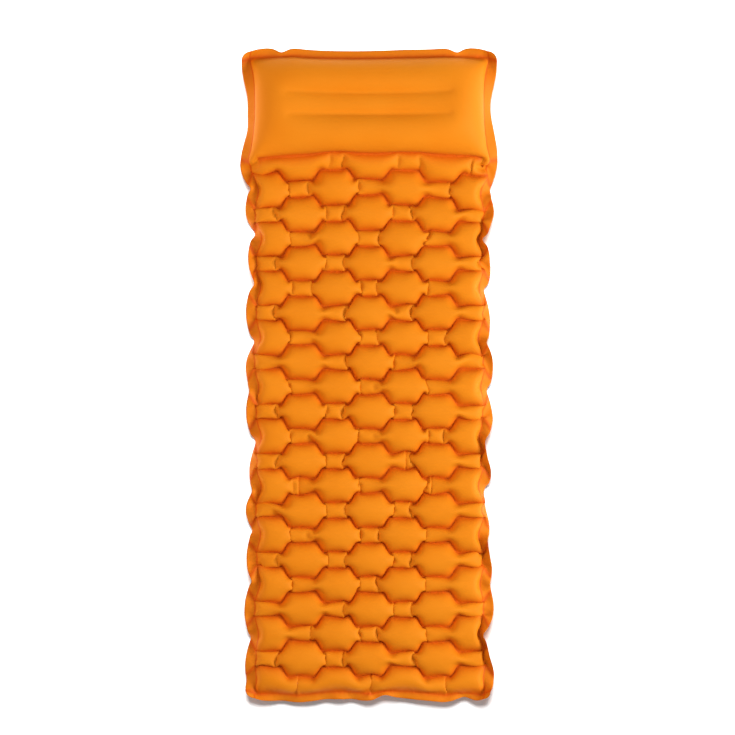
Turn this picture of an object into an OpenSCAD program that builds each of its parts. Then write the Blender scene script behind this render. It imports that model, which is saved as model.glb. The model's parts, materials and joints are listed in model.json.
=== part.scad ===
// Inflatable sleeping pad with a built-in pillow, modelled inflated and lying in use.
// Origin: on the ground under the middle of the outline. +X across, +Y to the pillow end, +Z up.

/* [Pad] */
// Overall length, foot edge to head edge
pad_length = 1830; // [1700:5:1950]
// Overall width, over both side edges
pad_width = 724; // [700:2:760]
// Inflated thickness of the cell field
pad_height = 70; // [64:1:80]
// Width of the flat welded edge along each side
side_edge = 38; // [30:1:44]
// Width of the flat welded edge at the foot and at the head
end_edge = 28; // [22:1:34]
// Modelled thickness of one coated fabric sheet
skin = 0.8; // [0.6:0.1:1.2]

/* [Cells] */
// Cross rows of cells between the foot seam and the pillow seam
row_count = 22; // [18:2:24]
// Distance between neighbouring cells in one row
cell_spacing = 187.5; // [180:0.5:195]
// Share of the spacing that is a cell's straight edge
cell_flat_share = 0.395; // [0.35:0.005:0.42]
// Share of the spacing that is one slanted side
cell_slant_share = 0.105; // [0.09:0.005:0.12]
// Half height of a channel between cells, as a share of the row pitch
channel_share = 0.255; // [0.22:0.005:0.28]
// Width of a weld line between two rows
weld_width = 5; // [4:0.5:7]

/* [Pillow] */
// Distance from the pillow seam to the head seam
pillow_length = 283; // [260:1:300]
// Height of the pillow's top above the ground
pillow_height = 122; // [112:1:130]
// Length of the two grooves in the pillow's top
groove_length = 430; // [380:5:470]
// Depth of the two grooves
groove_depth = 12; // [8:0.5:14]

/* [Valves] */
// Wall radius of the port that takes a pump nozzle
port_radius = 10.5; // [9:0.1:11]
// Height of the port's rim above the fabric
port_height = 6.5; // [6:0.1:7]
// Position of the inflation valve across the pad
inflate_valve_x = 110; // [100:1:120]
// Distance between the inflation valve and the deflation valve
valve_spacing = 90; // [85:1:100]

/* [Hidden] */

// Outline and seams
foot_edge_y = -pad_length / 2;
head_edge_y = pad_length / 2;
foot_seam_y = foot_edge_y + end_edge;
head_seam_y = head_edge_y - end_edge;
pillow_seam_y = head_seam_y - pillow_length;
side_seam_x = pad_width / 2 - side_edge;
seam_z = pad_height / 2;
pillow_seam_z = pillow_height / 2;
ramp_length = 46;

// Cells
row_pitch = (pillow_seam_y - foot_seam_y) / (row_count - 1 + 2 * channel_share);
channel_half = channel_share * row_pitch;
cell_half = row_pitch - channel_half;
flat_half = cell_flat_share * cell_spacing / 2;
slant = cell_slant_share * cell_spacing;
tip_half = flat_half + slant * cell_half / (cell_half - channel_half);
channel_rise = 15;
thin = 0.01;

// Pillow
groove_ys = [pillow_seam_y + 0.41 * pillow_length, pillow_seam_y + 0.63 * pillow_length];
groove_floor = 16;
groove_mouth = 44;
baffle_web = 0.8;
baffle_foot = 14;
gap = 0.02;

// The wall under the head edge, which carries the valves
wall_foot_z = 12;
wall_lean = 18;
wall_tilt = atan2(wall_lean, pillow_seam_z - wall_foot_z);
valve_z = (pillow_seam_z + wall_foot_z) / 2;

// Valve, in its own frame: +Z out of the fabric, the hinge on -X
flange_radius = 21;
flange_thick = 1;
collar_radius = port_radius + 3;
throat_radius = port_radius - 1;
throat_depth = 5.2;
ledge_z = 0.4;
web_thick = 1.2;
port_count = 6;
vent_radius = 2.2;
vent_circle = 5.8;
stem_radius = 1.25;
stem_play = 0.05;
flap_radius = 9;
flap_thick = 0.8;
flap_travel = 2.4;
lid_play = 0.25;
lid_radius = collar_radius + lid_play + 1.85;
skirt_z = 3.5;
lid_roof_z = port_height + 0.8;
lid_top_z = port_height + 2.1;
hinge_x = -18;
barrel_radius = 1.5;
pin_radius = 0.7;
pin_play = 0.05;
barrel_half = 2.5;
knuckle_end = 5.5;
mouth_chamfer = 0.8;
sheet_hole_play = 0.2;
patch_radius = 24;
patch_thick = 0.5;

// ---- Chambers ----------------------------------------------------------

// A cell's six corners in the weld plane, counter-clockwise, at their full size
function cell_corners() = [[flat_half, cell_half], [-flat_half, cell_half], [-tip_half, 0],
                           [-flat_half, -cell_half], [flat_half, -cell_half], [tip_half, 0]];

// One inflated cell, symmetrical about the weld plane: six-cornered rings from its underside to its top
module cell(x, inset) {
    size = 1 - (weld_width / 2 + inset) / cell_half;
    rise = seam_z - inset;
    rings = [[-1, 0.55], [-0.62, 0.9], [0, 1], [0.62, 0.9], [1, 0.55]];
    last = len(rings) - 1;
    points = [for (ring = rings, p = cell_corners())
              [x + p[0] * size * ring[1], p[1] * size * ring[1], ring[0] * rise]];
    sides = [for (i = [0 : 6 : 6 * last - 6], j = [0 : 5])
             [i + j, i + 6 + j, i + 6 + (j + 1) % 6, i + (j + 1) % 6]];
    underside = [for (j = [0 : 5]) j];
    top = [for (j = [5 : -1 : 0]) 6 * last + j];
    hull()
        polyhedron(points, concat([underside], sides, [top]), convexity = 2);
}

// The narrow tube that joins the cells of a row, past the side seams
module channel(inset) {
    half = channel_half - weld_width / 2 - inset;
    rise = channel_rise - inset;
    rotate([90, 0, 90])
        translate([0, 0, -pad_width / 2])
            linear_extrude(pad_width)
                polygon([[half, 0], [0.6 * half, rise], [-0.6 * half, rise],
                         [-half, 0], [-0.6 * half, -rise], [0.6 * half, -rise]]);
}

// A thin level slab inside the seams of the cell field, at a height from the weld plane
module field_slab(z, inset) {
    translate([-side_seam_x + inset, foot_seam_y + inset, seam_z + z - thin / 2])
        cube([2 * (side_seam_x - inset), pillow_seam_y - weld_width / 2 - foot_seam_y - 2 * inset, thin]);
}

// The space between the seams, narrower towards the top and the underside
module field_limits(inset) {
    hull() {
        field_slab(0, inset);
        for (side = [-1, 1]) {
            field_slab(side * 0.7 * (seam_z - inset), inset + 7);
            field_slab(side * seam_z, inset + 22);
        }
    }
}

// All rows of cells. Rows with four and with three take turns, and the outer cells are cut by the seams
module cell_field(inset) {
    intersection() {
        field_limits(inset);
        for (row = [0 : row_count - 1])
            translate([0, foot_seam_y + channel_half + row * row_pitch, seam_z]) {
                channel(inset);
                for (c = row % 2 == 0 ? [-1.5, -0.5, 0.5, 1.5] : [-1, 0, 1])
                    cell(c * cell_spacing, inset);
            }
    }
}

// Rear wall of the pillow under the head edge, as y at a height, set in by inset
function wall_y(z, inset) = head_seam_y - (pillow_seam_z - z) * tan(wall_tilt) - inset / cos(wall_tilt);

// A thin level slab of the pillow: height, inset at the sides, front y and rear y
module pillow_slab(z, side, front_y, rear_y) {
    translate([-side_seam_x + side, front_y, z - thin / 2])
        cube([2 * (side_seam_x - side), rear_y - front_y, thin]);
}

// The pillow's air space or its outside, set in by inset, with the two grooves in its top
module pillow_body(inset) {
    front = pillow_seam_y + weld_width / 2 + inset;
    rear = head_seam_y - inset;
    top = pillow_height - inset;
    difference() {
        hull() {
            pillow_slab(seam_z, inset + 1, front, front + 1);
            pillow_slab(pillow_seam_z, inset, front + ramp_length, wall_y(pillow_seam_z, inset));
            pillow_slab(wall_foot_z, inset + 9, front + 20, wall_y(wall_foot_z, inset));
            pillow_slab(inset, inset + 22, front + 34, wall_y(wall_foot_z, inset) - 12);
            pillow_slab(pillow_seam_z + 30, inset + 2, front + 4, rear - 2);
            pillow_slab(top - 10, inset + 12, front + 14, rear - 12);
            pillow_slab(top, inset + 36, front + 38, rear - 36);
        }
        for (y = groove_ys)
            groove(y, inset);
    }
}

// One groove, with a flat floor for the baffle's foot; inset moves its faces down into the air space
module groove(y, inset) {
    rotate([90, 0, 90])
        translate([y, pillow_height, -groove_length / 2 - inset])
            linear_extrude(groove_length + 2 * inset)
                polygon([[-groove_mouth / 2 - inset, 1], [-groove_floor / 2 - inset, -groove_depth - inset],
                         [groove_floor / 2 + inset, -groove_depth - inset], [groove_mouth / 2 + inset, 1]]);
}

// ---- Sheets ------------------------------------------------------------

// The weld surface in the Y-Z plane, from foot to head: level, up the ramp beside the pillow, level
function weld_line() = [[foot_edge_y, seam_z],
                        [pillow_seam_y + weld_width / 2, seam_z],
                        [pillow_seam_y + weld_width / 2 + ramp_length, pillow_seam_z],
                        [head_edge_y, pillow_seam_z]];

// A plate of the pad's outline that follows the weld surface from low to high about it
module weld_plate(low, high) {
    line = weld_line();
    up = [for (p = line) p + [0, high]];
    down = [for (i = [len(line) - 1 : -1 : 0]) line[i] + [0, low]];
    rotate([90, 0, 90])
        translate([0, 0, -pad_width / 2])
            linear_extrude(pad_width)
                polygon(concat(up, down));
}

// The whole fabric envelope: both sheets of the edges and welds, and the skins of the chambers
module envelope() {
    difference() {
        union() {
            weld_plate(-skin, skin);
            cell_field(0);
            pillow_body(0);
        }
        cell_field(skin);
        pillow_body(skin);
    }
}

module pad_top_sheet() {
    color("darkorange")
        intersection() {
            envelope();
            weld_plate(0, pillow_height);
        }
}

module pad_bottom_sheet() {
    color("darkorange")
        difference() {
            intersection() {
                envelope();
                weld_plate(-pillow_height, 0);
            }
            for (x = [inflate_valve_x, inflate_valve_x + valve_spacing])
                at_valve(x)
                    cylinder(h = 8, r = collar_radius + sheet_hole_play, center = true, $fn = 48);
        }
}

// An I-shaped strip that ties the pillow's top to its underside along a groove
module baffle(y) {
    low = skin + gap;
    high = pillow_height - groove_depth - skin - gap;
    rotate([90, 0, 90])
        translate([y, 0, -groove_length / 2])
            linear_extrude(groove_length)
                union() {
                    translate([-baffle_web / 2, low])
                        square([baffle_web, high - low]);
                    for (z = [low, high - baffle_web])
                        translate([-baffle_foot / 2, z])
                            square([baffle_foot, baffle_web]);
                }
}

module pillow_front_baffle() {
    color("orange") baffle(groove_ys[0]);
}

module pillow_rear_baffle() {
    color("orange") baffle(groove_ys[1]);
}

// ---- Valves ------------------------------------------------------------

// Places a valve on the rear wall: its +Z leaves the fabric backwards and slightly down
module at_valve(x, turn = 0) {
    translate([x, wall_y(valve_z, 0), valve_z])
        rotate([-90 - wall_tilt, 0, 0])
            rotate([0, 0, turn])
                children();
}

// Flange, collar and hinge knuckles. The bore is cut afterwards
module valve_shell(depth) {
    translate([0, 0, -skin - gap - flange_thick])
        cylinder(h = flange_thick, r = flange_radius, $fn = 96);
    translate([0, 0, -depth])
        cylinder(h = depth + port_height, r = collar_radius - 2, $fn = 96);
    translate([0, 0, -skin - gap - flange_thick])
        cylinder(h = port_height + skin + gap + flange_thick, r = collar_radius, $fn = 96);
    for (side = [-1, 1])
        translate([hinge_x, side * (barrel_half + gap * 5 + knuckle_end) / 2, skirt_z])
            knuckle(knuckle_end - barrel_half - gap * 5);
}

// One hinge knuckle: an eye on the axis and a foot that reaches the collar
module knuckle(length) {
    rotate([90, 0, 0])
        cylinder(h = length, r = barrel_radius, center = true, $fn = 48);
    translate([0, -length / 2, -barrel_radius])
        cube([-hinge_x - collar_radius + 2, length, 2 * barrel_radius - 0.6]);
}

// The hinge pin, moulded with the knuckles
module hinge_pin() {
    translate([hinge_x, 0, skirt_z])
        rotate([90, 0, 0])
            cylinder(h = 2 * knuckle_end - 1, r = pin_radius, center = true, $fn = 48);
}

// Chamfer that leads a nozzle into the port
module port_mouth() {
    translate([0, 0, port_height - mouth_chamfer])
        cylinder(h = 2 * mouth_chamfer, r1 = port_radius, r2 = port_radius + 2 * mouth_chamfer, $fn = 96);
}

module inflate_valve_base() {
    color("dimgray")
        at_valve(inflate_valve_x) {
            difference() {
                valve_shell(throat_depth);
                translate([0, 0, ledge_z])
                    cylinder(h = port_height, r = port_radius, $fn = 96);
                port_mouth();
                translate([0, 0, web_thick - throat_depth])
                    cylinder(h = throat_depth, r = throat_radius, $fn = 96);
                translate([0, 0, -throat_depth - 1])
                    cylinder(h = web_thick + 2, r = stem_radius + stem_play, $fn = 48);
                for (i = [0 : port_count - 1])
                    rotate([0, 0, i * 360 / port_count])
                        translate([vent_circle, 0, -throat_depth - 1])
                            cylinder(h = web_thick + 2, r = vent_radius, $fn = 48);
            }
            hinge_pin();
        }
}

// Silicone disc that the air inside presses against the web, on a stem with a stop bulb
module inflate_valve_flap() {
    bulb_z = web_thick - throat_depth + flap_travel + 0.1;
    color("gainsboro")
        at_valve(inflate_valve_x) {
            translate([0, 0, -throat_depth - gap - flap_thick])
                cylinder(h = flap_thick, r = flap_radius, $fn = 96);
            translate([0, 0, -throat_depth - gap - flap_thick])
                cylinder(h = bulb_z + throat_depth + flap_thick + gap, r = stem_radius, $fn = 48);
            translate([0, 0, bulb_z])
                cylinder(h = 1.5, r1 = stem_radius + 0.9, r2 = stem_radius, $fn = 48);
        }
}

// Fabric ring welded round the collar on the outside of the wall
module patch() {
    difference() {
        translate([0, 0, gap])
            cylinder(h = patch_thick, r = patch_radius, $fn = 96);
        translate([0, 0, -1])
            cylinder(h = patch_thick + 2, r = collar_radius + sheet_hole_play, $fn = 96);
    }
}

module inflate_valve_patch() {
    color("orange") at_valve(inflate_valve_x) patch();
}

module deflate_valve_patch() {
    color("orange") at_valve(inflate_valve_x + valve_spacing) patch();
}

module deflate_valve_base() {
    color("dimgray")
        at_valve(inflate_valve_x + valve_spacing, 180) {
            difference() {
                valve_shell(skin + gap + flange_thick);
                translate([0, 0, -10])
                    cylinder(h = 10 + port_height + 1, r = port_radius, $fn = 96);
                port_mouth();
            }
            hinge_pin();
        }
}

// Over-cap with a skirt round the collar, a pull tab and a hinge barrel
module lid() {
    difference() {
        union() {
            translate([0, 0, skirt_z])
                cylinder(h = lid_top_z - 0.6 - skirt_z, r = lid_radius, $fn = 96);
            translate([0, 0, lid_top_z - 0.6])
                cylinder(h = 0.6, r1 = lid_radius, r2 = lid_radius - 0.8, $fn = 96);
            translate([lid_radius - 1, -5, lid_top_z - 2])
                cube([6.5, 10, 1.6]);
            translate([hinge_x, -barrel_half, skirt_z])
                cube([-hinge_x - collar_radius + 1, 2 * barrel_half, lid_top_z - 0.8 - skirt_z]);
            translate([hinge_x, 0, skirt_z])
                rotate([90, 0, 0])
                    cylinder(h = 2 * barrel_half, r = barrel_radius, center = true, $fn = 48);
        }
        translate([0, 0, skirt_z - 3])
            cylinder(h = lid_roof_z - skirt_z + 3, r = collar_radius + lid_play, $fn = 96);
        translate([hinge_x, 0, skirt_z])
            rotate([90, 0, 0])
                cylinder(h = 20, r = pin_radius + pin_play, center = true, $fn = 48);
        // room for the knuckles under the lid's edge
        for (side = [-1, 1])
            translate([hinge_x - 2, side * (barrel_half + 2) - 2 + side * 0.1, skirt_z - 2])
                cube([-hinge_x - collar_radius + 6, 4, 4.2]);
    }
}

// Ring under the lid's roof that seals on the collar's rim
module gasket() {
    difference() {
        translate([0, 0, port_height + gap])
            cylinder(h = lid_roof_z - port_height - 2 * gap, r = collar_radius - 0.4, $fn = 96);
        translate([0, 0, port_height - 1])
            cylinder(h = 3, r = port_radius + 0.4, $fn = 96);
    }
}

module inflate_valve_lid() {
    color("dimgray") at_valve(inflate_valve_x) lid();
}

module inflate_valve_gasket() {
    color("black") at_valve(inflate_valve_x) gasket();
}

module deflate_valve_lid() {
    color("dimgray") at_valve(inflate_valve_x + valve_spacing, 180) lid();
}

module deflate_valve_gasket() {
    color("black") at_valve(inflate_valve_x + valve_spacing, 180) gasket();
}

pad_top_sheet();
pad_bottom_sheet();
pillow_front_baffle();
pillow_rear_baffle();
inflate_valve_base();
inflate_valve_patch();
inflate_valve_flap();
inflate_valve_lid();
inflate_valve_gasket();
deflate_valve_base();
deflate_valve_patch();
deflate_valve_lid();
deflate_valve_gasket();
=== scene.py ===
"""Inflatable sleeping pad: two welded fabric sheets, inflated by a small simulation, on the CAD frame."""
import json
import math
from concurrent.futures import ThreadPoolExecutor

import bpy
import numpy as np
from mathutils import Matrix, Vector


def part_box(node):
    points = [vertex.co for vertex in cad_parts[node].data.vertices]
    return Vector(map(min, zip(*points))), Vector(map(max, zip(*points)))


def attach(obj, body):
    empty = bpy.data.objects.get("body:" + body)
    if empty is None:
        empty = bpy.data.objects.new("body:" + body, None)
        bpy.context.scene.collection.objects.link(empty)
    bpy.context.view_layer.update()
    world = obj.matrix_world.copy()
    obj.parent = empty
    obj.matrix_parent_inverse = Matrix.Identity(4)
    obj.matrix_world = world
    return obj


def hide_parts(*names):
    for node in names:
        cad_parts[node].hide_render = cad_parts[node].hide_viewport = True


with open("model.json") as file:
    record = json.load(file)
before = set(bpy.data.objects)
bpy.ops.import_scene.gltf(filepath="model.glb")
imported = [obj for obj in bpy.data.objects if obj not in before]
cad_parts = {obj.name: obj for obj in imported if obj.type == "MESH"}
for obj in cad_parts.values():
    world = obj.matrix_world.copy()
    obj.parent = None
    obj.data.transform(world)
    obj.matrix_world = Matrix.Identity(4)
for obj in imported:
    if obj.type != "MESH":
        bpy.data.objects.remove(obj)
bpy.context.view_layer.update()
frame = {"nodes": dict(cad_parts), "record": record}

MM = 0.001
SEED = 7

# The inflated pad in millimetres, in the CAD frame; a share is of the distance between two rows
TOP_LOW, TOP_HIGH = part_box("pad_top_sheet")
FOOT_EDGE_Y = TOP_LOW.y / MM
HEAD_EDGE_Y = TOP_HIGH.y / MM
END_EDGE = 28.0
PILLOW_LENGTH = 283.0
FOOT_SEAM_Y = FOOT_EDGE_Y + END_EDGE
HEAD_SEAM_Y = HEAD_EDGE_Y - END_EDGE
PILLOW_SEAM_Y = HEAD_SEAM_Y - PILLOW_LENGTH
HEAD_INSET = 3.0
HEAD_SEAM_Z = 61.5
SIDE_SEAM_X = 315.0
FIELD_HALF = 35.0
ROWS = 22
CHANNEL_SHARE = 0.255
PITCH = (PILLOW_SEAM_Y - FOOT_SEAM_Y) / (ROWS - 1 + 2 * CHANNEL_SHARE)
WAVE = (0.5 - CHANNEL_SHARE) * PITCH
WAVE_SLOPE = 4.28
SPACING = 187.5

# The flat fabric is larger than the inflated pad, by these factors
SLACK_Y = 1.36
SLACK_X = 1.10
HALF_FABRIC = SIDE_SEAM_X * SLACK_X
FLAT_WAVE = 0.62
WAVE_SLACK = 0.81
FOOT_SLACK = 0.96
HEAD_SLACK = 0.92
PILLOW_SIDE_SLACK = 0.93

# The flat fabric's welded edges in millimetres: a notch at the foot is its depth, middle and reach,
# and the head's notches are at this share of the half width
END_WIDTH = 22.0
FOOT_NOTCHES = ((8, 45, 42), (10, 283, 30))
HEAD_NOTCH = 0.75
HEAD_NOTCH_DEPTH = 9.0
HEAD_LOBE = 4.0
SIDE_FLANGE = 30.0

# The flat fabric of the pillow in millimetres, and how much wider it is in the middle, as a share
PILLOW_FABRIC = 333.0
PILLOW_CORNER_CUT = 27.0
PILLOW_WELD_END = 28.0
PILLOW_EASE = 0.015

# The grid: distances between nodes in millimetres, the nodes along one row of cells, and a margin
# for comparing positions
NODE_X = 4.4
PILLOW_NODE = 5.6
END_NODE = 5.0
NODES_PER_ROW = 16
MARGIN = 0.01

# Folds across the channels: places in wave periods from each channel's middle, reach and lean in
# millimetres, and chances that a fold is at the other mouth, by the side seam, at both, or doubled
FIRST_KINKS = {-1: [-0.06], 0: [0.02], 1: [0.10]}
LAST_KINKS = {-1.5: [], -0.5: [-0.05, 0.14], 0.5: [-0.11, 0.20], 1.5: [-0.08, 0.10]}
MOUTHS = {-1: -0.155, 1: 0.135}
MOUTH_DRIFT = 0.025
PAIR_GAP = 0.11
KINK_REACH = 4.5
LAST_KINK_REACH = 1.45 * KINK_REACH
KINK_LEAN = 9.0
OTHER_MOUTH = 0.15
EDGE_KINKS = 0.8
BOTH_MOUTHS = 0.42
NEAR_PAIRS = 0.12

# Starting shape: heights of the two sheets and of the waves in their edges, in millimetres
START_LIFT = 4.0
START_BULGE = 1.5
SIDE_WAVE = 11.0
CORNER_WAVE = 12.0
FOOT_WAVES = (6.0, 3.0)
END_WAVE_REACH = 27.0

# Simulation, in units of its own: forces per node and step
STEPS = 1600
PRESSURE = 1.0e-4
WEIGHT = 1.5e-5
STRETCH = 0.14
SHEAR = 0.06
SQUEEZE = 0.9
FOLD_STOP = 0.12
FOLD_CLOSE = 0.5
KINK_CLOSE = 0.75
BEND = 0.010
KINK_BEND = 0.05
FLANGE_BEND = 0.02
SEAM_BEND = 0.010
SIDE_BEND = 0.002
DAMPING = 0.985
GROUND_DRAG = 0.5
TINY = np.float32(1e-6)
EVERY_AXIS = (slice(None),)

# Ties between the sheets: the baffles' shares of the pillow's length and half widths, then lengths
# in millimetres, for baffles and for folds
TIES = ((0.424, 216.0), (0.615, 222.0))
TIE_LENGTH = 90.0
TIE_SLACK = 24.0
TIE_PULL = np.float32(0.15)
PINCH = 25.0
PILLOW_PINCH = 18.0

# What holds the sheets in place, and how often or after which share of the steps
OUTLINE_EVERY = 4
OUTLINE_HOLD = 0.1
JOIN_EVERY = 50
SETTLE = 0.4
HEAD_EDGE_HOLD = 0.03
HEAD_SEAM_HOLD = 0.05

# The flat fabric round the valves, in millimetres
PATCH_TO_FABRIC = 1.17
VALVE_FLAT = 24.0
VALVE_FADE = 32.0
VALVE_HOLE = 13.9
VALVE_DEPTH = 12.0
VALVE_MIDDLE_X = 155.0
VALVE_SPAN = 88.0
VALVE_ROWS = 22
VALVE_HOLD = np.float32(0.12)
VALVE_BRAKE = 0.2

# Meshes, in millimetres
SHEET_LIFT = 0.3
GROUND_GAP = 0.05

# Materials: welds are darker, redder fused fabric plus painted crease shade that fades over the nodes beside
# a weld, and puckers reach further at the ends
ORANGE = (0.715, 0.202, 0.004, 1)
ORANGE_LIGHT = (0.745, 0.246, 0.010, 1)
# Weld colour: the fused weld's own darker tone plus painted shade and painted reddening of the crease valleys
# beside it
ORANGE_WELD_AND_SHADE = (0.58, 0.054, 0.0010, 1)
WELD_AND_SHADE_MIX = 0.75
# How much of the painted crease shade is left at each node away from a weld
WELD_AND_SHADE_FADE = (0.75, 0.45, 0.22, 0.09)
EDGE_SHADE = 0.25
PUCKER_ROWS = (5.0, 2.2)
PUCKER_X = 16.0
THREADS_PER_M = 1100.0

# Stage, in metres: the floor and the world, then the camera, which looks straight down
WHITE = (1, 1, 1, 1)
WORLD_LIGHT = 0.33
FLOOR_SIZE = 30.0
FLOOR_GREY = 0.80
FLOOR_GLOW = 0.05
FLOOR_FADE = 1.3
CAMERA_PLACE = (-0.0056, 0.0168, 8.0)
PAD_MIDDLE_Z = 0.05
SENSOR = 36.0
FRAME_SHARE = 0.88844


# ---- Cutting pattern ---------------------------------------------------

def wave(u, period):
    """The weld line between two rows: flats and slants from -1 to 1, for positions across the pad."""
    total = np.zeros_like(u)
    blurs = (-3, -1, 1, 3)
    for shift in blurs:
        phase = ((u + shift) / period) % 1.0
        total += np.clip((4 * np.abs(phase - 0.5) - 1) * WAVE_SLOPE, -1, 1)
    return total / len(blurs)


def end_width(u, head):
    """Width of the welded edge across the head, with its corner lobes, or across the foot."""
    if head:
        share = np.abs(u) / HALF_FABRIC
        lobe = np.clip((share - HEAD_NOTCH) / 0.12, 0, 1)
        notch = np.exp(-((share - HEAD_NOTCH) / 0.05) ** 2)
        return END_WIDTH + HEAD_LOBE * lobe - HEAD_NOTCH_DEPTH * notch
    width = END_WIDTH + 0 * u
    for depth, middle, reach in FOOT_NOTCHES:
        width = width - depth * np.exp(-((u - middle) / reach) ** 2)
    return width


def pillow_fabric(u):
    """Flat length of the pillow, shorter beside the side seams so that its head edge stays straight."""
    t = np.clip((np.abs(u) / HALF_FABRIC - 0.62) / 0.38, 0, 1)
    return PILLOW_FABRIC - PILLOW_CORNER_CUT * t ** 1.3


def columns_across():
    """Where the grid's columns are on the flat fabric."""
    across = int(round(2 * HALF_FABRIC / NODE_X / 2)) * 2
    inner = np.linspace(-HALF_FABRIC, HALF_FABRIC, across + 1)
    edge_count = int(round(SIDE_FLANGE / NODE_X))
    edge = np.arange(1, edge_count + 1) * SIDE_FLANGE / edge_count
    return np.concatenate([-HALF_FABRIC - edge[::-1], inner, HALF_FABRIC + edge])


def weld_lines(u, w, pitch):
    """The lines between rows of cells: flat position, flat wave, inflated position, inflated wave."""
    amplitude = WAVE * SLACK_Y * FLAT_WAVE
    low = pitch / 2 - amplitude
    first_y = FOOT_SEAM_Y + CHANNEL_SHARE * PITCH
    lines = [(-low, 0 * u, FOOT_SEAM_Y, 0 * u)]
    for r in range(ROWS - 1):
        sign = -1 if r % 2 == 0 else 1
        lines.append(((r + 0.5) * pitch, sign * amplitude * w, first_y + (r + 0.5) * PITCH, sign * WAVE * w))
    lines.append(((ROWS - 1) * pitch + low, 0 * u, PILLOW_SEAM_Y, 0 * u))
    return lines


def welded_nodes(u, shape, seams, front, head):
    """Which nodes of the two sheets are welded together."""
    weld = np.zeros(shape, bool)
    weld[seams[1:-1]] = True
    weld[:seams[0] + 1] = True
    weld[head:] = True
    weld[:, np.abs(u) > HALF_FABRIC - MARGIN] = True
    weld[front, np.abs(u) < HALF_FABRIC - PILLOW_WELD_END] = True
    return weld


def cutting_pattern():
    """The flat fabric as a grid whose rows follow the weld lines, and where each node starts."""
    u = columns_across()
    period = SPACING * SLACK_X
    pitch = PITCH * SLACK_Y
    lines = weld_lines(u, wave(u, period), pitch)

    flat, start, seams = [], [], []
    ends = int(round(END_EDGE / END_NODE))
    width = end_width(u, False)
    for i in range(ends, 0, -1):
        flat.append(lines[0][0] - i / ends * width)
        start.append(FOOT_SEAM_Y - i / ends * width * 0.9 + 0 * u)
    for r in range(ROWS):
        a, b = lines[r], lines[r + 1]
        count = NODES_PER_ROW if 0 < r < ROWS - 1 else int(NODES_PER_ROW * 0.8)
        seams.append(len(flat))
        for i in range(count):
            t = i / count
            flat.append((1 - t) * (a[0] + a[1]) + t * (b[0] + b[1]))
            start.append((1 - t) * (a[2] + a[3]) + t * (b[2] + b[3]))
    seams.append(len(flat))
    front = len(flat)
    count = int(round(PILLOW_FABRIC / PILLOW_NODE))
    for i in range(count):
        flat.append(lines[-1][0] + pillow_fabric(u) * i / count)
        start.append(PILLOW_SEAM_Y + PILLOW_LENGTH * i / count + 0 * u)
    head = len(flat)
    width = end_width(u, True)
    for i in range(ends + 1):
        flat.append(lines[-1][0] + pillow_fabric(u) + i / ends * width)
        start.append(HEAD_SEAM_Y + i / ends * width * 0.9)
    v = np.array(flat)
    along = np.zeros((len(v), 1))
    along[front:head, 0] = np.sin(np.pi * np.arange(head - front) / (head - front))
    weld = welded_nodes(u, v.shape, seams, front, head)
    return dict(u=u, U=u * (1 + PILLOW_EASE * along), V=v, start=np.array(start), weld=weld, seams=seams,
                foot=seams[0], front=front, head=head, half=HALF_FABRIC, period=period, pitch=pitch)


def round_corners(p):
    """Rounds the four corners of the welded edge, on the flat fabric and in the starting shape."""
    U, V, start = p["U"], p["V"], p["start"]
    ends = ((slice(p["head"], None), p["head"], -1, 1), (slice(0, p["foot"] + 1), p["foot"], 0, -1))
    for rows, seam, last, sign_v in ends:
        base, depth = V[seam].copy(), np.abs(V[last] - V[seam])
        first, reach = start[seam].copy(), np.abs(start[last] - start[seam])
        b = sign_v * (V[rows] - base) / depth
        for sign_u in (-1, 1):
            a = np.clip((sign_u * U[rows] - p["half"]) / SIDE_FLANGE, 0, 1)
            corner = a > 0
            out = a * np.sqrt(1 - b * b / 2)
            along = b * np.sqrt(1 - a * a / 2)
            U[rows][corner] = (sign_u * (p["half"] + out * SIDE_FLANGE))[corner]
            V[rows][corner] = (base + sign_v * along * depth)[corner]
            start[rows][corner] = (first + sign_v * along * reach)[corner]


def valve_places():
    """Centre and outward normal of the flat fabric round each valve, in millimetres."""
    places = []
    for mount in frame["record"]["mounts"]:
        if mount["kind"] == "bore":
            n = np.array(mount["axis"])
            n = n / np.linalg.norm(n)
            low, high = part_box(mount["name"].split("_")[0] + "_valve_patch")
            centre = (np.array(low) + np.array(high)) / 2 / MM
            places.append((centre - n * PATCH_TO_FABRIC, n))
    return places


# ---- Starting shape ----------------------------------------------------

def kink_places(r, c, rng):
    """Where the channel c of the row r folds, in wave periods from the channel's middle."""
    if r == 0:
        return FIRST_KINKS[c]
    if r == ROWS - 1:
        return LAST_KINKS[c]
    side = -1 if r % 2 == 0 else 1
    if rng.random() < OTHER_MOUTH:
        side = -side
    mouths = {which: place + rng.uniform(-MOUTH_DRIFT, MOUTH_DRIFT) for which, place in MOUTHS.items()}
    if abs(c) == 1.5:
        return [mouths[1] - 0.01] if rng.random() < EDGE_KINKS else []
    places = [mouths[side]]
    chance = rng.random()
    if chance < BOTH_MOUTHS:
        places.append(mouths[-side])
    elif chance < BOTH_MOUTHS + NEAR_PAIRS:
        places.append(places[0] - side * PAIR_GAP)
    return places


def kinks(p, rng):
    """How strongly the fabric is folded across its channels: 0 to 1 on each node of the cell field."""
    weight = np.zeros_like(p["V"])
    for r in range(ROWS):
        a, b = p["seams"][r], p["seams"][r + 1]
        lean = np.linspace(-0.5, 0.5, b - a - 1)[:, None]
        reach = KINK_REACH if r < ROWS - 1 else LAST_KINK_REACH
        for c in ([-1, 0, 1] if r % 2 == 0 else [-1.5, -0.5, 0.5, 1.5]):
            for place in kink_places(r, c, rng):
                middle = (c + place) * p["period"] + lean * rng.normal(0, KINK_LEAN)
                bump = np.exp(-((p["u"] - middle) / reach) ** 2)
                weight[a + 1:b] = np.maximum(weight[a + 1:b], bump)
    return weight


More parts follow.
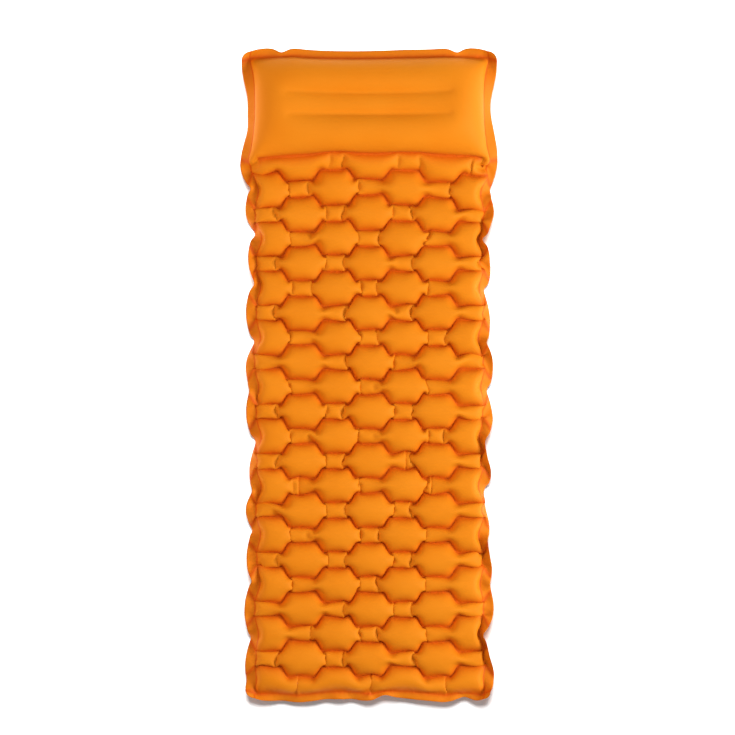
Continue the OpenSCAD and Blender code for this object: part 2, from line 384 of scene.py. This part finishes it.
def parting(p):
    """Height of the upper sheet over the weld plane before inflation: 0 on welds and on folds."""
    lift = np.where(p["weld"], 0.0, START_LIFT)
    for _ in range(6):
        near = lift.copy()
        around = lift[:-2, 1:-1] + lift[2:, 1:-1] + lift[1:-1, :-2] + lift[1:-1, 2:]
        near[1:-1, 1:-1] = around / 4 + START_BULGE
        lift = np.where(p["weld"], 0, near)
    return lift * (1 - p["kink"])


def edge_waves(p, rng):
    """Height of the waves in the welded edges before inflation."""
    U, V = p["U"], p["V"]
    foot, front, head, half = p["foot"], p["front"], p["head"], p["half"]
    # side edges: raised and lowered at every other row, level at the channels' ends
    row = (V - V[foot, 0]) / p["pitch"] - 0.25
    out = np.clip((np.abs(U) - half) / SIDE_FLANGE, 0, 1)
    height = rng.uniform(0.6, 1.2, (2, 16))
    which = np.clip(np.round(row / 2).astype(int), 0, 15)
    tall = np.where(U < 0, height[0][which], height[1][which])
    field = np.clip(row, 0, 1) * (V < V[front, 0])
    wavy = out * np.cos(np.pi * row / 2) * np.where(U < 0, 1, -1) * SIDE_WAVE * tall * field
    t = (V - V[front, 0]) / (V[head, 0] - V[front, 0])
    wavy += out * np.where(t > 0, -2 + 4 * np.sin(15 * t + 1.0), 0)
    # head edge: raised lobes at the corners
    share = np.abs(U) / half
    back = np.clip((V - V[head, 0]) / END_WAVE_REACH, 0, 1)
    lobe = CORNER_WAVE * np.sin(np.pi * np.clip((share - 0.70) / 0.45, 0, 1))
    wavy += back * np.where(share > 0.70, lobe, 1.0)
    # foot edge: shallow waves
    fore = np.clip((V[foot, 0] - V) / END_WAVE_REACH, 0, 1)
    long, short = FOOT_WAVES
    return wavy + fore * (long * np.sin(U / 34.0 + 0.6) + short * np.sin(U / 17.0)) * (share < 0.9)


def start_shape(p, rng):
    """Both sheets before inflation: a slightly parted, over-gathered stack with waves in its welded edges."""
    V = p["V"]
    ny, nx = V.shape
    P = np.zeros((2, 3, ny, nx))
    along = np.clip((V - V[p["front"], 0]) / p["pitch"] + 2.5, 0, 1)
    P[:, 0] = p["U"] * (SIDE_SEAM_X / p["half"]) * (0.948 + 0.052 * along)
    P[:, 1] = p["start"]
    lift = parting(p)
    P[0, 2], P[1, 2] = lift, -lift
    block = rng.normal(0, 0.4, (2, ny // 3 + 2, nx // 3 + 2))
    P[:, 2] += np.repeat(np.repeat(block, 3, 1), 3, 2)[:, :ny, :nx] * ~p["weld"]
    P[:, 2] += edge_waves(p, rng)
    return P.astype(np.float32)


# ---- Cloth -------------------------------------------------------------

def pair(shape, di, dj):
    """Index pairs of grid neighbours that are di columns and dj rows apart."""
    ny, nx = shape
    if di >= 0:
        return (slice(0, ny - dj), slice(0, nx - di)), (slice(dj, ny), slice(di, nx))
    return (slice(0, ny - dj), slice(-di, nx)), (slice(dj, ny), slice(0, nx + di))


def rest_length(p, di, dj):
    """Rest lengths of the threads between such neighbours. Welded edges have less slack than the field."""
    a, b = pair(p["V"].shape, di, dj)
    dv = p["V"][b] - p["V"][a]
    du = p["U"][b] - p["U"][a]
    side = np.zeros(p["V"].shape, bool)
    side[:, np.abs(p["u"]) > p["half"] - MARGIN] = True
    foot = np.zeros(p["V"].shape, bool)
    foot[:p["foot"] + 1] = True
    head = np.zeros(p["V"].shape, bool)
    head[p["head"]:, np.abs(p["u"]) < p["half"] * HEAD_NOTCH] = True
    ease = np.where(p["V"] < p["V"][p["front"], 0], WAVE_SLACK, PILLOW_SIDE_SLACK)
    dv = dv * np.where(side[a] & side[b], ease[a], 1)
    du = du * np.where(foot[a] & foot[b], FOOT_SLACK, 1) * np.where(head[a] & head[b], HEAD_SLACK, 1)
    return a, b, np.hypot(du, dv).astype(np.float32)


def outer_edge(p):
    """Which nodes are in the welded edge, outside the seams."""
    edge = np.broadcast_to(np.abs(p["u"]) > p["half"] + MARGIN, p["V"].shape).copy()
    edge[:p["foot"]] = True
    edge[p["head"] + 1:] = True
    return edge


def threads(p):
    """The threads along, across and on both diagonals: node pairs, rest lengths and stiffness."""
    found = []
    for di, dj, k in ((1, 0, STRETCH), (0, 1, STRETCH), (1, 1, SHEAR), (-1, 1, SHEAR)):
        a, b, length = rest_length(p, di, dj)
        found.append((EVERY_AXIS + a, EVERY_AXIS + b, length[None], np.float32(k)))
    return found


def fold_stops(p):
    """Node pairs two steps apart, and how close they come before the fabric resists folding."""
    found = []
    for di, dj in ((2, 0), (0, 2)):
        a, b, length = rest_length(p, di, dj)
        free = np.ones_like(length)
        if dj == 2:
            free = (~p["weld"][1:-1] | outer_edge(p)[1:-1]).astype(np.float32)
        shortest = length * FOLD_CLOSE * free
        if di == 2:
            shortest *= 1 - KINK_CLOSE * p["kink"][:, 1:-1]
        found.append((EVERY_AXIS + a, EVERY_AXIS + b, shortest[None].astype(np.float32)))
    return found


def bending(p):
    """Bending stiffness of each node, along the pad and across it: soft on welds, ties and folds."""
    edge, u = outer_edge(p), p["u"]
    along = np.where(edge, FLANGE_BEND, np.where(p["weld"], 0, BEND))
    along[[p["foot"], p["head"]]] = SEAM_BEND
    for share, reach in TIES:
        along[tie_row(p, share), np.abs(u) < reach] = 0
    across = np.where(edge, FLANGE_BEND, BEND) * np.where(p["kink"] > 0.3, KINK_BEND, 1.0)
    across[:, np.abs(np.abs(u) - p["half"]) < MARGIN] = SIDE_BEND
    return along.astype(np.float32)[1:-1], across.astype(np.float32)[:, 1:-1]


def tie_row(p, share):
    """The grid's row at this share of the pillow's length."""
    return p["front"] + int(round((p["head"] - p["front"]) * share))


def sheet_ties(p):
    """Where the sheets are tied together: rows, columns and lengths, for baffles and for folds."""
    found = []
    for share, reach in TIES:
        columns = np.abs(p["u"]) < reach
        slack = TIE_SLACK * np.clip(1.6 * np.abs(p["u"][columns]) / reach - 0.6, 0, 1) ** 2
        found.append((tie_row(p, share), columns, (TIE_LENGTH + slack).astype(np.float32)))
    j, i = np.nonzero(p["kink"] > 0.75)
    found.append((j, i, np.where(j > p["seams"][-2], PILLOW_PINCH, PINCH).astype(np.float32)))
    return found


# ---- Inflation ---------------------------------------------------------

def forces(Q, up, cloth):
    """Force on each node of one sheet: threads, fold stops, bending, air pressure and weight."""
    F = np.zeros_like(Q)
    for a, b, length, k in cloth["threads"]:
        d = Q[b] - Q[a]
        dist = np.sqrt(np.einsum("cji,cji->ji", d, d))[None]
        pull = dist - length
        pull = np.where(pull < 0, pull * np.float32(SQUEEZE), pull)
        pull *= k
        pull /= dist
        d *= pull
        F[a] += d
        F[b] -= d
    for a, b, shortest in cloth["fold_stops"]:
        d = Q[b] - Q[a]
        dist = np.sqrt(np.einsum("cji,cji->ji", d, d))[None] + TINY
        d *= np.minimum(dist - shortest, 0) * np.float32(FOLD_STOP) / dist
        F[a] += d
        F[b] -= d
    along, across = cloth["bending"]
    c = (Q[:, 2:, :] - 2 * Q[:, 1:-1, :] + Q[:, :-2, :]) * along
    F[:, 1:-1, :] += c
    c *= 0.5
    F[:, 2:, :] -= c
    F[:, :-2, :] -= c
    c = (Q[:, :, 2:] - 2 * Q[:, :, 1:-1] + Q[:, :, :-2]) * across
    F[:, :, 1:-1] += c
    c *= 0.5
    F[:, :, 2:] -= c
    F[:, :, :-2] -= c
    du = Q[:, 1:-1, 2:] - Q[:, 1:-1, :-2]
    dv = Q[:, 2:, 1:-1] - Q[:, :-2, 1:-1]
    q = np.float32(0.25 * PRESSURE * up)
    F[0, 1:-1, 1:-1] += q * (du[1] * dv[2] - du[2] * dv[1])
    F[1, 1:-1, 1:-1] += q * (du[2] * dv[0] - du[0] * dv[2])
    F[2, 1:-1, 1:-1] += q * (du[0] * dv[1] - du[1] * dv[0])
    F[2] -= np.float32(WEIGHT)
    return F


def tie(P, speed, rows, columns, longest):
    """Pulls the two sheets together where they are further apart than their ties are long."""
    d = P[0][:, rows, columns] - P[1][:, rows, columns]
    dist = np.sqrt((d * d).sum(0))
    d *= np.maximum(dist - longest, 0) / (dist + TINY) * TIE_PULL
    speed[0][:, rows, columns] -= d
    speed[1][:, rows, columns] += d


def join(P, joined):
    """Brings the welded nodes of the two sheets together. Works on positions and on speeds."""
    mean = 0.5 * (P[0] + P[1])
    P[0] += joined * (mean - P[0])
    P[1] += joined * (mean - P[1])


def hold_outline(P, p, middle, anchors):
    """Keeps the seams in place along the pad, and the side seams as far apart as the pad is wide."""
    for j, y in anchors:
        P[:, 1, j] += OUTLINE_HOLD * (y - P[0, 1, j, middle].mean())
    left, right = int(np.argmin(np.abs(p["u"] + p["half"]))), int(np.argmin(np.abs(p["u"] - p["half"])))
    rows = slice(p["foot"], p["head"])
    short = SIDE_SEAM_X - 0.5 * (P[0, 0, rows, right].mean() - P[0, 0, rows, left].mean())
    P[:, 0, :, right] += OUTLINE_HOLD * short
    P[:, 0, :, left] -= OUTLINE_HOLD * short


def rest_on_ground(P, speed):
    """Stops the nodes at the ground."""
    low = P[:, 2] < -FIELD_HALF
    for layer in (0, 1):
        P[layer, 2][low[layer]] = -FIELD_HALF
        speed[layer][:, low[layer]] *= GROUND_DRAG


def hold_head_edge(P, p):
    """Keeps the stiff welded edge at the head level above the valves."""
    head = p["head"]
    columns = np.abs(p["u"]) < p["half"] * HEAD_NOTCH
    P[:, 2, head:, columns] += HEAD_EDGE_HOLD * (HEAD_SEAM_Z - FIELD_HALF - P[:, 2, head:, columns])
    near = np.abs(P[0, 0, head] - VALVE_MIDDLE_X) < VALVE_SPAN
    P[:, 1, head, near] += HEAD_SEAM_HOLD * (HEAD_SEAM_Y + 1 - P[:, 1, head, near])


def flatten_at_valves(P, speed, valves, head):
    """Holds the lower sheet flat against each valve's flange."""
    rows = slice(head - VALVE_ROWS, head)
    for centre, n in valves:
        d = P[1][:, rows].copy()
        d[0] -= centre[0]
        d[1] -= centre[1]
        d[2] -= centre[2] - FIELD_HALF
        off = n[0] * d[0] + n[1] * d[1] + n[2] * d[2]
        r = np.sqrt(np.maximum((d * d).sum(0) - off * off, 0))
        t = np.clip((VALVE_FADE - r) / (VALVE_FADE - VALVE_FLAT), 0, 1)
        w = (t * t * (3 - 2 * t)).astype(np.float32)
        for axis in range(3):
            P[1, axis, rows] -= np.float32(n[axis]) * off * w * VALVE_HOLD
            speed[1, axis, rows] *= 1 - VALVE_BRAKE * w


def inflate(p, valves):
    """Mass-spring inflation of the two sheets. Returns node positions as (sheet, axis, row, column)."""
    rng = np.random.default_rng(SEED)
    p["kink"] = kinks(p, rng)
    P = start_shape(p, rng)
    speed = np.zeros_like(P)
    cloth = {"threads": threads(p), "fold_stops": fold_stops(p), "bending": bending(p)}
    ties = sheet_ties(p)
    joined = p["weld"].astype(np.float32)[None]
    middle = np.abs(p["u"]) < p["half"] - 1
    anchors = [(j, float(P[0, 1, j, middle].mean())) for j in p["seams"]]
    anchors.append((p["head"], HEAD_SEAM_Y - HEAD_INSET))

    def push(layer):
        speed[layer] += forces(P[layer], 1 if layer == 0 else -1, cloth)
        speed[layer] *= np.float32(DAMPING)

    pool = ThreadPoolExecutor(2)
    for step in range(STEPS):
        list(pool.map(push, (0, 1)))
        for rows, columns, longest in ties:
            tie(P, speed, rows, columns, longest)
        join(speed, joined)
        P += speed
        if step % OUTLINE_EVERY == 0:
            hold_outline(P, p, middle, anchors)
        if step % JOIN_EVERY == 0:
            join(P, joined)
        rest_on_ground(P, speed)
        if step > STEPS * SETTLE:
            flatten_at_valves(P, speed, valves, p["head"])
            hold_head_edge(P, p)
    join(P, joined)
    return P.astype(np.float64)


# ---- Meshes ------------------------------------------------------------

def mesh_object(name, points, faces, uvs, values=None):
    """A smooth mesh from points in millimetres, with UVs and optional float attributes per point."""
    mesh = bpy.data.meshes.new(name)
    mesh.from_pydata((points * MM).tolist(), [], faces.tolist())
    mesh.polygons.foreach_set("use_smooth", np.ones(len(mesh.polygons), bool))
    layer = mesh.uv_layers.new(name="cloth")
    corner = np.zeros(len(mesh.loops), np.int32)
    mesh.loops.foreach_get("vertex_index", corner)
    layer.data.foreach_set("uv", (uvs * MM)[corner].astype(np.float32).ravel())
    for key, value in (values or {}).items():
        mesh.attributes.new(key, "FLOAT", "POINT").data.foreach_set("value", value.astype(np.float32))
    obj = bpy.data.objects.new(name, mesh)
    bpy.context.scene.collection.objects.link(obj)
    return obj


def grid_quads(ny, nx):
    """The faces between a grid's nodes."""
    j, i = np.mgrid[0:ny - 1, 0:nx - 1]
    return np.stack([j * nx + i, j * nx + i + 1, (j + 1) * nx + i + 1, (j + 1) * nx + i], -1).reshape(-1, 4)


def weld_and_shade_mask(p):
    """Mask for the weld colour: 1 on a weld line, falling to 0 within five nodes as painted crease shade; a
    little in the welded edges.
    """
    near = np.zeros(p["V"].shape)
    near[p["seams"][1:-1] + [p["foot"], p["head"]]] = 1
    near[p["front"]] = p["weld"][p["front"]]
    near[:, np.abs(np.abs(p["u"]) - p["half"]) < MARGIN] = 1
    soft = near.copy()
    for distance, value in enumerate(WELD_AND_SHADE_FADE, 1):
        soft[distance:] = np.maximum(soft[distance:], near[:-distance] * value)
        soft[:-distance] = np.maximum(soft[:-distance], near[distance:] * value)
    border = np.ones(p["V"].shape, bool)
    border[p["foot"]:p["head"] + 1, np.abs(p["u"]) < p["half"] + MARGIN] = False
    return np.maximum(soft, EDGE_SHADE * border)


def pucker_nearness(p):
    """1 on a weld, falling off slowly: where the fabric gathers into small puckers."""
    rows = np.arange(len(p["V"]))
    gap = np.min(np.abs(rows[:, None] - np.array(p["seams"] + [p["head"]])[None]), axis=1)
    reach = np.where((rows > p["front"]) | (rows < p["foot"] + 4), *PUCKER_ROWS)
    along = np.exp(-gap / reach)[:, None]
    across = np.exp(-np.abs(np.abs(p["u"]) - p["half"]) / PUCKER_X)[None]
    return np.clip(np.maximum(along, across), 0, 1)


def cut_valve_holes(quads, points, valves):
    """Removes the faces inside each valve's hole and moves the nodes round it onto a circle."""
    for centre, n in valves:
        d = points - centre
        off = d @ n
        flat = d - off[:, None] * n
        r = np.linalg.norm(flat, axis=1)
        close = np.abs(off) < VALVE_DEPTH
        inside = (r[quads].mean(1) < VALVE_HOLE) & close[quads].all(1)
        gone = set(quads[inside].ravel().tolist())
        quads = quads[~inside]
        rim = np.array(sorted(gone & set(quads.ravel().tolist())), int)
        points[rim] += flat[rim] / r[rim, None] * (VALVE_HOLE - r[rim])[:, None]
    return quads, points


def sheet(name, p, P, layer, valves):
    """One of the two fabric sheets. The top one carries the cut rim that closes the welded edge."""
    ny, nx = p["V"].shape
    lift = SHEET_LIFT if layer == 0 else -SHEET_LIFT
    points = P[layer].reshape(3, -1).T.copy()
    points[:, 2] = np.maximum(points[:, 2] + lift + FIELD_HALF, GROUND_GAP)
    quads = grid_quads(ny, nx)
    uvs = np.stack([p["U"].ravel(), p["V"].ravel()], -1)
    # The weld attribute also carries the painted crease shade beside each weld
    near, pucker = weld_and_shade_mask(p).ravel(), pucker_nearness(p).ravel()
    if layer == 1:
        quads, points = cut_valve_holes(quads[:, ::-1], points, valves)
    else:
        ring = np.concatenate([np.arange(nx - 1), np.arange(ny - 1) * nx + nx - 1,
                               (ny - 1) * nx + np.arange(nx - 1, 0, -1), np.arange(ny - 1, 0, -1) * nx])
        base, count = len(points), np.arange(len(ring))
        after = base + (count + 1) % len(ring)
        rim = np.stack([ring, base + count, after, np.roll(ring, -1)], -1)
        quads = np.concatenate([quads, rim])
        points = np.concatenate([points, points[ring] - [0, 0, 2 * SHEET_LIFT]])
        uvs = np.concatenate([uvs, uvs[ring]])
        near, pucker = np.concatenate([near, near[ring]]), np.concatenate([pucker, pucker[ring]])
    return mesh_object(name, points, quads, uvs, {"weld": near, "pucker": pucker})


def baffle(name, p, P, share, reach):
    """A tie strip between the sheets: a web and the two feet that are welded to the fabric."""
    j = tie_row(p, share)
    columns = np.where(np.abs(p["u"]) < reach)[0]
    upper, lower = P[0][:, j, columns].T.copy(), P[1][:, j, columns].T.copy()
    rows = [P[1][:, j + k, columns].T + [0, 0, 2 * SHEET_LIFT] for k in (1, 0)]
    for t in np.linspace(0.02, 0.98, 9):
        rows.append(lower + (upper - lower) * t)
    rows += [P[0][:, j + k, columns].T - [0, 0, 2 * SHEET_LIFT] for k in (0, 1)]
    points = np.array(rows)
    points[..., 2] += FIELD_HALF
    m, n = points.shape[:2]
    s, t = np.meshgrid(p["u"][columns], np.arange(m) * 12.0)
    return mesh_object(name, points.reshape(-1, 3), grid_quads(m, n), np.stack([s.ravel(), t.ravel()], -1))


# ---- Materials ---------------------------------------------------------

class Nodes:
    """A small helper to build a node material."""

    def __init__(self, name):
        self.material = bpy.data.materials.new(name)
        self.material.use_nodes = True
        self.tree = self.material.node_tree
        self.shader = self.tree.nodes["Principled BSDF"]

    def add(self, kind, **values):
        """A node with its settings, or its inputs' values, from keywords."""
        node = self.tree.nodes.new(kind)
        for key, value in values.items():
            if hasattr(node, key):
                setattr(node, key, value)
            else:
                node.inputs[key.replace("_", " ")].default_value = value
        return node

    def link(self, a, b):
        self.tree.links.new(a, b)

    def shade(self, **values):
        """Sets inputs of the shader, by value or by link."""
        for key, value in values.items():
            socket = self.shader.inputs[key.replace("_", " ")]
            if isinstance(value, (int, float, tuple)):
                socket.default_value = value
            else:
                self.link(value, socket)

    def math(self, operation, a, b):
        node = self.add("ShaderNodeMath", operation=operation)
        for slot, value in enumerate((a, b)):
            if isinstance(value, (int, float)):
                node.inputs[slot].default_value = value
            else:
                self.link(value, node.inputs[slot])
        return node.outputs[0]

    def mix(self, factor, a, b):
        node = self.add("ShaderNodeMix", data_type="RGBA")
        for slot, value in ((0, factor), (6, a), (7, b)):
            if isinstance(value, (int, float, tuple)):
                node.inputs[slot].default_value = value
            else:
                self.link(value, node.inputs[slot])
        return node.outputs[2]

    def noise(self, place, scale, detail):
        node = self.add("ShaderNodeTexNoise", Scale=scale, Detail=detail)
        self.link(place, node.inputs["Vector"])
        return node.outputs["Fac"]

    def bump(self, height, strength, distance):
        node = self.add("ShaderNodeBump", Strength=strength, Distance=distance)
        self.link(height, node.inputs["Height"])
        return node


def weave(m, uv):
    """A plain weave of crossing threads."""
    split = m.add("ShaderNodeSeparateXYZ")
    m.link(uv, split.inputs[0])
    across, along = (m.math("SINE", m.math("MULTIPLY", split.outputs[axis], THREADS_PER_M * math.pi), 0)
                     for axis in (0, 1))
    return m.math("MULTIPLY", across, along)


def coated_nylon(name, base, light, weld):
    """Coated nylon: a fine plain weave, soft sheen, slow colour drift and glossier welds, darker and redder
    with painted crease shade beside them.
    """
    m = Nodes(name)
    uv = m.add("ShaderNodeUVMap", uv_map="cloth").outputs[0]
    place = m.add("ShaderNodeTexCoord").outputs["Object"]
    drift, fine, gather = m.noise(place, 9.0, 4.0), m.noise(place, 260.0, 3.0), m.noise(uv, 70.0, 2.0)
    near = m.add("ShaderNodeAttribute", attribute_name="weld").outputs["Fac"]
    amount = m.add("ShaderNodeAttribute", attribute_name="pucker").outputs["Fac"]

    colour = m.mix(m.math("MULTIPLY", drift, 0.8), base, light)
    # Welds and the creases beside them turn darker and redder: the weld's own tone plus painted shade in the
    # crease valleys
    colour = m.mix(m.math("MULTIPLY", near, WELD_AND_SHADE_MIX), colour, weld)
    rough = m.math("ADD", m.math("MULTIPLY", fine, 0.12), 0.56)
    rough = m.math("SUBTRACT", rough, m.math("MULTIPLY", near, 0.10))
    puckers = m.bump(m.math("MULTIPLY", gather, amount), 0.6, 0.004)
    height = m.math("ADD", m.math("MULTIPLY", weave(m, uv), 0.5), m.math("MULTIPLY", fine, 1.2))
    threads_bump = m.bump(height, 0.22, 0.0003)
    m.link(puckers.outputs[0], threads_bump.inputs["Normal"])
    m.shade(Base_Color=colour, Roughness=rough, Normal=threads_bump.outputs[0], Specular_IOR_Level=0.09,
            Sheen_Weight=0.01, Sheen_Roughness=0.4, Sheen_Tint=(1.0, 0.75, 0.5, 1))
    return m.material


def moulded(name, base, worn, rough, bump_size, scale, subsurface=0.0):
    """Moulded plastic, silicone or rubber: fine texture, slight wear and a soft change of gloss."""
    m = Nodes(name)
    place = m.add("ShaderNodeTexCoord").outputs["Object"]
    grain, cloud = m.noise(place, scale, 3.0), m.noise(place, 60.0, 2.0)
    edge = m.add("ShaderNodeBevel", samples=4, Radius=0.0006)
    facing = m.add("ShaderNodeVectorMath", operation="DOT_PRODUCT")
    m.link(edge.outputs[0], facing.inputs[0])
    m.link(m.add("ShaderNodeNewGeometry").outputs["Normal"], facing.inputs[1])
    wear = m.math("MULTIPLY", m.math("SUBTRACT", 1.0, facing.outputs["Value"]), 3.0)
    colour = m.mix(wear, m.mix(m.math("MULTIPLY", cloud, 0.35), base, worn), worn)
    gloss = m.math("ADD", m.math("MULTIPLY", cloud, 0.15), rough)
    m.shade(Base_Color=colour, Roughness=gloss, Normal=m.bump(grain, 0.3, bump_size).outputs[0],
            Subsurface_Weight=subsurface, Subsurface_Scale=0.002)
    return m.material


def paint(obj, material):
    """Gives an object one material."""
    obj.data.materials.clear()
    obj.data.materials.append(material)


# ---- Build -------------------------------------------------------------

pattern = cutting_pattern()
round_corners(pattern)
valves = valve_places()
nodes = inflate(pattern, valves)

# The third colour is the weld colour, which also paints shade into the creases beside the welds
fabric = coated_nylon("orange_coated_nylon", ORANGE, ORANGE_LIGHT, ORANGE_WELD_AND_SHADE)
tie_fabric = coated_nylon("tie_nylon", (0.75, 0.3, 0.08, 1), (0.8, 0.36, 0.1, 1), (0.6, 0.2, 0.05, 1))
plastic = moulded("dark_moulded_plastic", (0.012, 0.012, 0.013, 1), (0.05, 0.05, 0.052, 1),
                  0.42, 0.0002, 1800.0)
silicone = moulded("clear_silicone", (0.72, 0.72, 0.70, 1), (0.8, 0.8, 0.78, 1), 0.35, 0.0001, 900.0, 0.4)
rubber = moulded("gasket_rubber", (0.008, 0.008, 0.008, 1), (0.03, 0.03, 0.03, 1), 0.6, 0.0002, 1400.0)
by_slot = {"shell_fabric": fabric, "baffle_fabric": tie_fabric, "valve_plastic": plastic,
           "flap_silicone": silicone, "gasket_rubber": rubber}

for piece, stands_for, slot in (
        (sheet("inflated_top_sheet", pattern, nodes, 0, valves), "pad_top_sheet", "shell_fabric"),
        (sheet("inflated_bottom_sheet", pattern, nodes, 1, valves), "pad_bottom_sheet", "shell_fabric"),
        (baffle("front_tie_strip", pattern, nodes, *TIES[0]), "pillow_front_baffle", "baffle_fabric"),
        (baffle("rear_tie_strip", pattern, nodes, *TIES[1]), "pillow_rear_baffle", "baffle_fabric")):
    paint(piece, by_slot[slot])
    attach(piece, "pad")
    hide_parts(stands_for)

for part in frame["record"]["subparts"]:
    paint(frame["nodes"][part["node"]], by_slot[part["material_slot"]])


# ---- Stage -------------------------------------------------------------

def floor():
    """A pale floor that glows only in the camera's eye, more so far away, where it meets the white world."""
    bpy.ops.mesh.primitive_plane_add(size=FLOOR_SIZE)
    obj = bpy.context.object
    obj.name = "floor"
    m = Nodes("pale_floor")
    reach = m.add("ShaderNodeVectorMath", operation="LENGTH")
    m.link(m.add("ShaderNodeNewGeometry").outputs["Position"], reach.inputs[0])
    far = m.math("MULTIPLY", m.math("SUBTRACT", reach.outputs["Value"], FLOOR_FADE), 0.5)
    glow = m.math("MINIMUM", m.math("MAXIMUM", far, FLOOR_GLOW), 1.0)
    seen = m.add("ShaderNodeLightPath").outputs["Is Camera Ray"]
    m.shade(Base_Color=(FLOOR_GREY, FLOOR_GREY, FLOOR_GREY, 1), Roughness=0.9, Emission_Color=WHITE,
            Emission_Strength=m.math("MULTIPLY", seen, glow))
    paint(obj, m.material)
    return obj


def area_light(name, place, size, energy, colour=(1, 1, 1), shines_on=None, spares=None):
    """A square area light aimed at the pad's middle, which may light one object only, or spare one."""
    light = bpy.data.lights.new(name, "AREA")
    light.size = size
    light.energy = energy
    light.color = colour
    obj = bpy.data.objects.new(name, light)
    bpy.context.scene.collection.objects.link(obj)
    obj.location = place
    obj.rotation_euler = (-Vector(place)).to_track_quat("-Z", "Y").to_euler()
    linked = shines_on or spares
    if linked:
        group = bpy.data.collections.new(name + "_receivers")
        group.objects.link(linked)
        group.collection_objects[0].light_linking.link_state = "INCLUDE" if shines_on else "EXCLUDE"
        obj.light_linking.receiver_collection = group


def soft_world():
    """A soft white surrounding that the camera sees as plain white."""
    world = bpy.data.worlds.new("soft_white")
    world.use_nodes = True
    tree = world.node_tree
    background = tree.nodes["Background"]
    background.inputs["Color"].default_value = WHITE
    strength = tree.nodes.new("ShaderNodeMath")
    strength.operation = "MAXIMUM"
    strength.inputs[1].default_value = WORLD_LIGHT
    tree.links.new(tree.nodes.new("ShaderNodeLightPath").outputs["Is Camera Ray"], strength.inputs[0])
    tree.links.new(strength.outputs[0], background.inputs["Strength"])
    return world


def camera_above():
    """A camera that looks straight down, with the pad filling its share of the picture's height."""
    data = bpy.data.cameras.new("camera")
    data.sensor_width = SENSOR
    view = (HEAD_EDGE_Y - FOOT_EDGE_Y) * MM / FRAME_SHARE
    data.lens = SENSOR * (CAMERA_PLACE[2] - PAD_MIDDLE_Z) / view
    camera = bpy.data.objects.new("camera", data)
    bpy.context.scene.collection.objects.link(camera)
    camera.location = CAMERA_PLACE
    return camera


ground = floor()
area_light("key", (3.9, -0.3, 2.5), 2.0, 236, spares=ground)
area_light("fill", (-0.8, 0.9, 2.6), 1.6, 22, (1.0, 0.9, 0.72), spares=ground)
area_light("warm_bounce", (-3.6, -0.4, 1.7), 2.0, 60, (1.0, 0.66, 0.30), spares=ground)
area_light("floor_light", (0.0, 2.5, 5.0), 2.5, 850, shines_on=ground)
bpy.context.scene.world = soft_world()
bpy.context.scene.view_settings.view_transform = "Standard"
bpy.context.scene.camera = camera_above()
